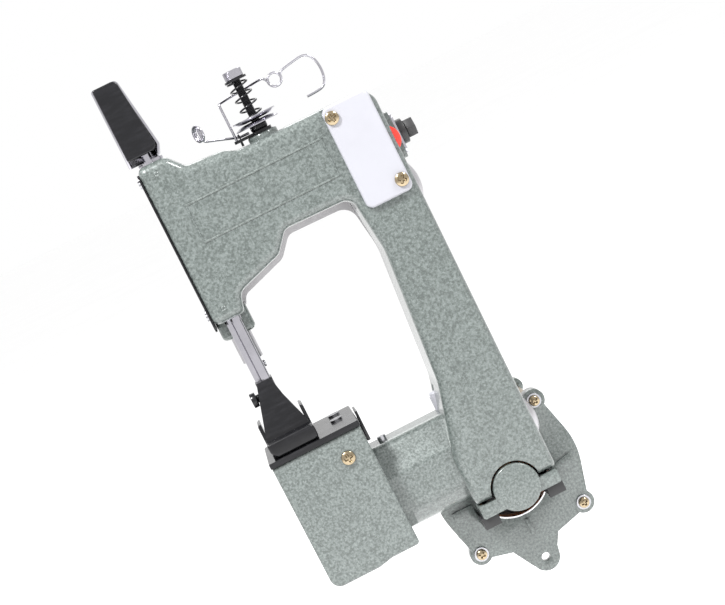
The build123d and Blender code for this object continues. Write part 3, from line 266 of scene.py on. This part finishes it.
# ---- shared mesh helpers ------------------------------------------------
def smooth(piece, angle=32.0):
    """Shade smooth up to an angle and keep real edges sharp."""
    for polygon in piece.data.polygons:
        polygon.use_smooth = True
    edges = bmesh.new()
    edges.from_mesh(piece.data)
    limit = math.radians(angle)
    for edge in edges.edges:
        edge.smooth = len(edge.link_faces) == 2 and edge.calc_face_angle(0.0) < limit
    edges.to_mesh(piece.data)
    edges.free()


def new_piece(name, mesh):
    """Put a mesh into the scene as an object."""
    made = bpy.data.objects.new(name, mesh)
    bpy.context.scene.collection.objects.link(made)
    return made


def evaluated_mesh(piece):
    """A piece's mesh with its modifiers or curve bevel worked out."""
    graph = bpy.context.evaluated_depsgraph_get()
    return bpy.data.meshes.new_from_object(piece.evaluated_get(graph))


def mesh_from(name, form):
    """Turn a bmesh into a mesh and let go of it."""
    mesh = bpy.data.meshes.new(name)
    form.to_mesh(mesh)
    form.free()
    return mesh


def finish_piece(piece, body, slot_name, replaced=()):
    """Paint one finished piece with the finish of a record slot, hide the CAD nodes it replaces and attach it to
    its body.
    """
    paint(piece, slot_name)
    if replaced:
        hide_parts(*replaced)
    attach(piece, body)
    return piece


def softened(node, width):
    """A copy of a CAD node with rounded real edges, which stands for it."""
    source = bmesh.new()
    source.from_mesh(nodes[node].data)
    bmesh.ops.remove_doubles(source, verts=source.verts, dist=2e-6)
    bmesh.ops.dissolve_limit(source, angle_limit=math.radians(0.8), verts=source.verts, edges=source.edges)
    piece = new_piece(node + "_fine", mesh_from(node + "_fine", source))
    bevel = piece.modifiers.new("edge", "BEVEL")
    bevel.width = width * MM
    bevel.segments = 2
    bevel.limit_method = "ANGLE"
    bevel.angle_limit = math.radians(38.0)
    bevel.use_clamp_overlap = True
    mesh = evaluated_mesh(piece)
    piece.modifiers.clear()
    piece.data = mesh
    smooth(piece)
    return finish_piece(piece, body_of_node[node], slots[node], [node])


def tube(name, points, radius, sides=6):
    """Mesh of a round wire through points given in mm."""
    data = bpy.data.curves.new(name, "CURVE")
    data.dimensions = "3D"
    data.bevel_depth = radius * MM
    data.bevel_resolution = sides
    data.use_fill_caps = True
    line = data.splines.new("NURBS")
    line.points.add(len(points) - 1)
    for point, place in zip(line.points, points):
        point.co = (place[0] * MM, place[1] * MM, place[2] * MM, 1)
    line.use_endpoint_u = True
    line.order_u = 3
    line.resolution_u = 6
    drawn = bpy.data.objects.new(name + "_path", data)
    bpy.context.scene.collection.objects.link(drawn)
    mesh = evaluated_mesh(drawn)
    bpy.data.objects.remove(drawn)
    bpy.data.curves.remove(data)
    piece = new_piece(name, mesh)
    smooth(piece, 50)
    return piece


def coil(centre, radii, heights, turns, first_angle):
    """Points of a compression spring along Z with closed ends."""
    closed = 0.75
    steps = int(turns * 28)
    points = []
    for i in range(steps + 1):
        t = i / steps
        angle = first_angle + 2 * math.pi * turns * t
        eased = min(max((t * turns - closed * 0.6) / (turns - 1.2 * closed), 0.0), 1.0)
        radius = radii[0] + (radii[1] - radii[0]) * t
        points.append((centre[0] + radius * math.cos(angle), centre[1] + radius * math.sin(angle),
                       heights[0] + (heights[1] - heights[0]) * eased))
    return points


def lathe(name, profiles, centre, sides=64, axis="Z"):
    """Mesh of closed (radius, height) profiles in mm turned about an axis through centre."""
    form = bmesh.new()
    for profile in profiles:
        rings = []
        for i in range(sides):
            angle = 2 * math.pi * i / sides
            ring = []
            for radius, height in profile:
                u, v = radius * math.cos(angle), radius * math.sin(angle)
                place = (u, v, height) if axis == "Z" else (u, height, -v)
                ring.append(form.verts.new([(centre[k] + place[k]) * MM for k in range(3)]))
            rings.append(ring)
        count = len(profile)
        for i in range(sides):
            here, after = rings[i], rings[(i + 1) % sides]
            for k in range(count):
                form.faces.new((here[k], after[k], after[(k + 1) % count], here[(k + 1) % count]))
    bmesh.ops.recalc_face_normals(form, faces=form.faces)
    piece = new_piece(name, mesh_from(name, form))
    smooth(piece, 35)
    return piece


def cross_head(form, radius, height):
    """Add a pan head with a tapered cross recess, in mm, seated at the origin and facing +Z."""
    sides, steps = 96, 22
    rings = []
    for row in range(1, steps + 1):
        ring = []
        for i in range(sides):
            angle = 2 * math.pi * i / sides
            r = radius * row / steps
            u, v = r * math.cos(angle), r * math.sin(angle)
            dome = height * (0.42 + 0.58 * math.sqrt(max(0.0, 1.0 - (row / steps) ** 2 * 0.98)))
            across = min(max((0.19 * radius - min(abs(u), abs(v))) / (0.07 * radius), 0.0), 1.0)
            along = min(max((0.62 * radius - max(abs(u), abs(v))) / (0.12 * radius), 0.0), 1.0)
            ring.append(form.verts.new((u * MM, v * MM, (dome - 0.55 * height * min(across, along)) * MM)))
        rings.append(ring)
    centre = form.verts.new((0, 0, height * 0.45 * MM))
    foot = [form.verts.new((vert.co.x, vert.co.y, 0)) for vert in rings[-1]]
    for i in range(sides):
        k = (i + 1) % sides
        form.faces.new((centre, rings[0][i], rings[0][k]))
        for inner, outer in zip(rings, rings[1:]):
            form.faces.new((inner[i], outer[i], outer[k], inner[k]))
        form.faces.new((rings[-1][i], foot[i], foot[k], rings[-1][k]))
    form.faces.new(list(reversed(foot)))


def screw_set(name, heads, radius, height, shank):
    """One mesh of equal screws: (place in mm, facing -1 or 1 along Y, turn in degrees)."""
    shank_r = 1.6
    form = bmesh.new()
    for place, facing, turn in heads:
        single = bmesh.new()
        cross_head(single, radius, height)
        bmesh.ops.create_cone(single, cap_ends=True, segments=20, radius1=shank_r * MM, radius2=shank_r * MM,
                              depth=shank * MM, matrix=Matrix.Translation((0, 0, -shank / 2 * MM)))
        matrix = (Matrix.Translation([c * MM for c in place])
                  @ Matrix.Rotation(math.radians(-90 * facing), 4, "X")
                  @ Matrix.Rotation(math.radians(turn), 4, "Z"))
        bmesh.ops.transform(single, matrix=matrix, verts=single.verts)
        carried = mesh_from("one_screw", single)
        form.from_mesh(carried)
        bpy.data.meshes.remove(carried)
    piece = new_piece(name, mesh_from(name, form))
    smooth(piece, 40)
    return piece


def knurled(name, centre, radius, bore, z0, z1, teeth):
    """Round nut with diamond knurling, chamfered at both ends."""
    form = bmesh.new()
    between = [z0 + 0.35 + (z1 - z0 - 0.7) * k / 6 for k in range(1, 6)]
    levels = [z0, z0 + 0.35] + between + [z1 - 0.35, z1]
    rings = []
    sides = teeth * 4

    def around(i, r, z):
        angle = 2 * math.pi * i / sides
        x, y = centre[0] + r * math.cos(angle), centre[1] + r * math.sin(angle)
        return form.verts.new([x * MM, y * MM, z * MM])

    for row, z in enumerate(levels):
        inset = 0.45 if row in (0, len(levels) - 1) else 0.0
        ring = []
        for i in range(sides):
            phase = (i + row) % 4
            bite = 0.22 if phase in (0, 2) and row % 2 == phase // 2 else 0.0
            ring.append(around(i, radius - inset - bite, z))
        rings.append(ring)
    inner = [[around(i, bore, z) for i in range(sides)] for z in (z0, z1)]
    for i in range(sides):
        k = (i + 1) % sides
        for low_ring, high_ring in zip(rings, rings[1:]):
            form.faces.new((low_ring[i], low_ring[k], high_ring[k], high_ring[i]))
        form.faces.new((rings[-1][i], rings[-1][k], inner[1][k], inner[1][i]))
        form.faces.new((inner[0][i], inner[0][k], rings[0][k], rings[0][i]))
        form.faces.new((inner[1][i], inner[1][k], inner[0][k], inner[0][i]))
    bmesh.ops.recalc_face_normals(form, faces=form.faces)
    piece = new_piece(name, mesh_from(name, form))
    smooth(piece, 20)
    return piece


# ---- fine shapes that stand for plain CAD nodes, all in mm --------------
post = (-45.0, 0.0, 0.0)
presser_axis = (-105.5, -10.2, 0)
motor_x, motor_z = -8.3, -111.5
lobe_reach = 31.8
near_face, cover_face, switch_face, box_face = -22.0, 23.0, -25.0, -29.0
bell_face, screw_seat = 8.0, 7.0
guide_wire_r = 0.72

# black post: clamped foot, rounded collar and fine thread
thread_foot, thread_pitch = 126.9, 0.72
thread = []
z = thread_foot
while z < 154.0:
    thread += [(2.42, z + 0.18), (2.12, z + 0.42), (2.42, z + 0.66)]
    z += thread_pitch
collar = [(0.01, 110.0), (2.4, 110.0), (2.4, 120.2), (4.3, 120.2), (4.75, 120.9), (4.8, 122.4),
          (4.7, 123.9), (4.2, 124.8), (2.42, 124.8), (2.42, thread_foot)]
post_outline = collar + thread + [(2.1, 154.6), (0.01, 154.6)]
finish_piece(lathe("tension_post_fine", [post_outline], post), "root", "black_steel", ["tension_post"])

# two dished discs, back to back
dish = [(2.5, 0.0), (6.0, 0.0), (8.0, 0.12), (10.0, 0.55), (11.6, 1.25), (12.3, 1.75)]
disc_t = 0.55
disc_profiles = []
for z0, flip in ((125.7, -1), (126.1, 1)):
    inside = [(r, z0 + flip * h) for r, h in dish]
    outside = [(r, z0 + flip * (h + disc_t)) for r, h in reversed(dish)]
    disc_profiles.append(inside + outside)
finish_piece(lathe("tension_discs_fine", disc_profiles, post, 96), "root", "polished_steel", ["tension_discs"])

# springs, flattened towards their fixed ends, and the nut
tension_coil = coil(post, (5.5, 5.2), (127.5, 148.3), 4.6, 0.6)
spring = finish_piece(tube("tension_spring_fine", tension_coil, 0.52), "root", "black_steel", ["tension_spring"])
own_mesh(spring)
presser_coil = coil(presser_axis, (3.1, 3.1), (80.5, 124.3), 13, 0.0)
inner_spring = finish_piece(tube("presser_spring_fine", presser_coil, 0.42), "root", "brushed_steel",
                            ["presser_spring"])
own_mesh(inner_spring)
finish_piece(knurled("tension_nut_fine", post, 5.2, 2.5, 150.3, 155.1, 22), "tension_knob", "polished_steel",
             ["tension_nut"])

# tall guide: upright, bar behind the post, ring coil, arch and end
ring_points = []
for i in range(49):
    angle = math.radians(170 + 560 * i / 48)
    ring_points.append((-26.2 + 3.7 * math.cos(angle), 2.2 - 3.6 * i / 48, 140.6 + 3.7 * math.sin(angle)))
to_ring = [(-58.9, 0, 120.2), (-58.9, 0, 130), (-58.9, 0.4, 140.6), (-58.7, 0.8, 141.7), (-57.6, 1.6, 141.9),
           (-50, 7.5, 142.7), (-45, 9.0, 143.1), (-40, 8.0, 143.4), (-33.6, 4.0, 144.0), (-31.6, 3.0, 143.8),
           (-30.6, 2.6, 142.6)]
from_ring = [(-21.6, -1.4, 143.0), (-18.5, -1.2, 143.9), (-12, -0.6, 145.0), (-8.5, 0, 145.5),
             (-6.2, 0, 145.2), (-3.6, 0, 143.4), (-1.8, 0, 139.6), (-1.2, 0, 134.0), (-2.2, 0, 128.6),
             (-4.2, 0, 125.8), (-8, 0, 124.8), (-14.6, 0, 124.7)]
tall_guide = tube("tall_thread_guide_fine", to_ring + ring_points + from_ring, guide_wire_r)
finish_piece(tall_guide, "root", "polished_steel", ["tall_thread_guide"])

# eyelet guide: ring coil seen nearly edge-on, then the wire to the bracket
eyelet_path = []
for i in range(41):
    angle = math.radians(300 - 560 * i / 40)
    across, up = 3.7 * math.cos(angle), 3.7 * math.sin(angle)
    eyelet_path.append((-75.6 + 0.55 * across - 0.8 + 1.8 * i / 40, -0.8 * across, 132.7 + up * 1.15))
eyelet_path += [(-74.9, -0.5, 129.2), (-74.3, 0, 127.4), (-72.8, 0.3, 126.9), (-66, 2.4, 124.6),
                (-60, 4.4, 122.4), (-56.5, 4.5, 121.2), (-54, 4.2, 121.1), (-51, 3.4, 121.1)]
eyelet_guide = tube("eyelet_thread_guide_fine", eyelet_path, guide_wire_r)
finish_piece(eyelet_guide, "root", "polished_steel", ["eyelet_thread_guide"])

# cross-recessed screws, with washers under the motor ones
near_screws = [((-9.8, switch_face, 109.0), -1, 20), ((9.0, switch_face, 64.0), -1, 62),
               ((-82.0, box_face, -54.6), -1, 8)]
cover_spots = [(-108.4, 121), (-62, 110.5), (11, 104), (-108.4, 48), (-62, 68.5), (11, 50), (11, -20),
               (-11.8, 20), (11, -50)]
far_screws = [((x, cover_face, z), 1, 17 * k) for k, (x, z) in enumerate(cover_spots)]
pan_heads = screw_set("pan_head_screws_fine", near_screws + far_screws, 3.8, 2.2, 6.0)
finish_piece(pan_heads, "root", "brass_screws", ["pan_head_screws"])
motor_heads = []
for sx in (-1, 1):
    for sz in (-1, 1):
        place = (motor_x + sx * lobe_reach, screw_seat, motor_z + sz * lobe_reach)
        motor_heads.append((place, -1, 25 * sx + 10 * sz))
finish_piece(screw_set("motor_screws_fine", motor_heads, 3.0, 2.5, 70.0), "root", "brass_screws", ["motor_screws"])
washer_ring = [(1.9, screw_seat), (3.9, screw_seat), (4.1, 7.2), (4.1, bell_face), (1.9, bell_face)]
for k, ((x, _, z), _, _) in enumerate(motor_heads):
    finish_piece(lathe("screw_washer_%d" % k, [washer_ring], (x, 0, z), 40, "Y"), "root", "zinc_screws")

# raised plain border on the arm, two cast dimples and the machined lip of the motor opening
border = [(-98.5, 80.6), (-98.5, 102.2), (-19.5, 102.2), (-19.5, 80.6), (-98.5, 80.6)]
border_y = -21.95
for k, ((x0, z0), (x1, z1)) in enumerate(zip(border, border[1:])):
    run = [(x0 + (x1 - x0) * t / 12, border_y, z0 + (z1 - z0) * t / 12) for t in range(13)]
    finish_piece(tube("arm_border_%d" % k, run, 0.6, 3), "root", "hammertone_paint")
rim_angles = [math.pi * 2 * q / 10 for q in range(10)]
dimple_rim = [(1.0 + 0.45 * math.cos(a), 0.45 * math.sin(a)) for a in rim_angles]
for k, (x, z) in enumerate([(-104.6, 123.6), (-105.1, 45.1)]):
    dimple = lathe("cast_dimple_%d" % k, [dimple_rim], (x, near_face, z), 24, "Y")
    finish_piece(dimple, "root", "hammertone_paint")
lip = [(22.0, 7.9), (22.0, 9.0), (23.0, 9.0), (23.0, 7.9), (22.8, 7.75), (22.2, 7.75)]
finish_piece(lathe("opening_lip", [lip], (motor_x, 0, motor_z), 96, "Y"), "root", "bearing_steel")

# ---- CAD nodes kept as they are, and softened copies with rounded edges --
soft_edges = {
    "motor_end_bell": 1.2, "bearing_bridge": 0.9, "needle_bar_guard": 0.35, "gland_plate": 0.3, "gland_nut": 0.5,
    "brush_holders": 0.5, "thread_bracket": 0.3, "presser_foot": 0.5, "presser_foot_screw": 0.4, "gland_body": 0.6,
    "face_plate": 0.3, "needle_clamp_screw": 0.3, "crank_disc": 0.5, "connecting_rod": 0.4, "feed_bar": 0.3,
    "looper": 0.3, "switch_body": 0.4, "motor_housing": 0.5, "thread_cutter": 0.3, "rocker": 0.6,
}
for name, piece in nodes.items():
    if name in soft_edges:
        softened(name, soft_edges[name])
    else:
        paint(piece, slots[name])


# ---- studio and camera --------------------------------------------------
grip_to_subject = Vector((-37.3, 0.0, 12.4)) * MM
camera_distance = 1.050
elevation, azimuth, roll = (math.radians(a) for a in (6.3, 2.7, 26.5))
focal_length = 96.5

view_dir = Vector((math.sin(azimuth) * math.cos(elevation),
                   math.cos(azimuth) * math.cos(elevation),
                   -math.sin(elevation)))
level = view_dir.cross(Vector((0, 0, 1))).normalized()
upright = level.cross(view_dir)
camera_right = level * math.cos(roll) - upright * math.sin(roll)
camera_up = level * math.sin(roll) + upright * math.cos(roll)
camera = bpy.data.objects.new("camera", bpy.data.cameras.new("camera"))
camera.data.lens = focal_length
camera.data.sensor_width = 36.0
camera.data.clip_start = 0.05
pose = Matrix((camera_right, camera_up, -view_dir)).transposed().to_4x4()
pose.translation = grip_to_subject - view_dir * camera_distance
camera.matrix_world = pose
bpy.context.scene.collection.objects.link(camera)
bpy.context.scene.camera = camera

floor_drop = 0.16
floor_form = bmesh.new()
bmesh.ops.create_grid(floor_form, x_segments=2, y_segments=2, size=30.0)
floor = new_piece("floor", mesh_from("floor", floor_form))
floor.location.z = cad_box[0][2] - floor_drop
floor_finish = Finish("floor_white", (1.0, 1.0, 1.0), 0.9)
floor_tone = floor_finish.noise(3.0, 2.0)
floor_finish.colour(floor_finish.grey_ramp(floor_tone.outputs["Fac"], [(0.3, 0.985), (0.7, 1.0)]))
floor_finish.bump((floor_tone.outputs["Fac"], 0.02, 0.1))
floor.data.materials.append(floor_finish.material)
bpy.context.scene.view_settings.view_transform = "Standard"

world = bpy.data.worlds.new("studio")
world.use_nodes = True
world.node_tree.nodes["Background"].inputs["Color"].default_value = (1.0, 1.0, 1.0, 1)
world.node_tree.nodes["Background"].inputs["Strength"].default_value = 1.0
bpy.context.scene.world = world


def area_light(name, place, target, size, watts):
    """Square soft box, in metres and watts, aimed at a target."""
    data = bpy.data.lights.new(name, "AREA")
    data.size = size
    data.energy = watts
    lamp = bpy.data.objects.new(name, data)
    lamp.location = place
    lamp.rotation_euler = (Vector(target) - Vector(place)).to_track_quat("-Z", "Y").to_euler()
    bpy.context.scene.collection.objects.link(lamp)


aim = (-0.03, 0, 0)
area_light("key_light", (-0.55, -0.75, 1.2), aim, 0.22, 42)
area_light("fill_light", (0.9, -0.5, 0.8), aim, 0.3, 12)
area_light("rim_light", (0.2, 1.3, 1.0), aim, 0.9, 6)
